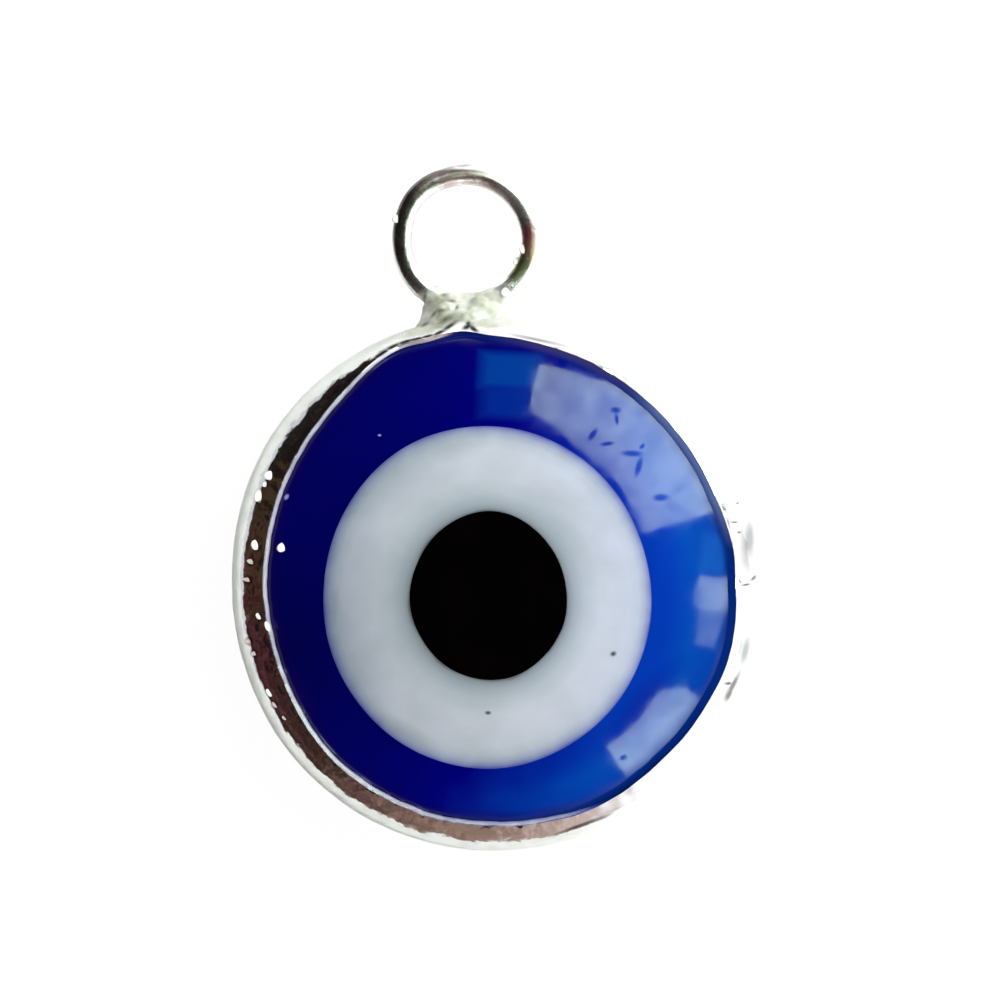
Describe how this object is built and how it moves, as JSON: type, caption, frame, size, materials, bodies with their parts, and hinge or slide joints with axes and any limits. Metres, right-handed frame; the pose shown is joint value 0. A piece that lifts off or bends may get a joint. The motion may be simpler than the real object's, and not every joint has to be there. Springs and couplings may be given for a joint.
{
  "type": "evil eye pendant",
  "caption": "Round domed glass charm with a white ring and a black centre, wrapped by a plated metal edge with a soldered wire loop to hang it by.",
  "frame": {"origin": "middle of the flat back, on the surface that the pendant lies on", "axes": "+Z out of the front of the disc, +Y from the disc towards the loop, +X to the right as seen from the front"},
  "size_m": [0.012, 0.0154, 0.003],
  "materials": {
    "blue_glass": "gloss",
    "white_glass": "gloss",
    "black_glass": "gloss",
    "silver_plate": "polished"
  },
  "bodies": {
    "root": {"blue_glass": "blue_glass", "white_ring": "white_glass", "black_pupil": "black_glass", "silver_setting": "silver_plate"}
  },
  "joints": []
}
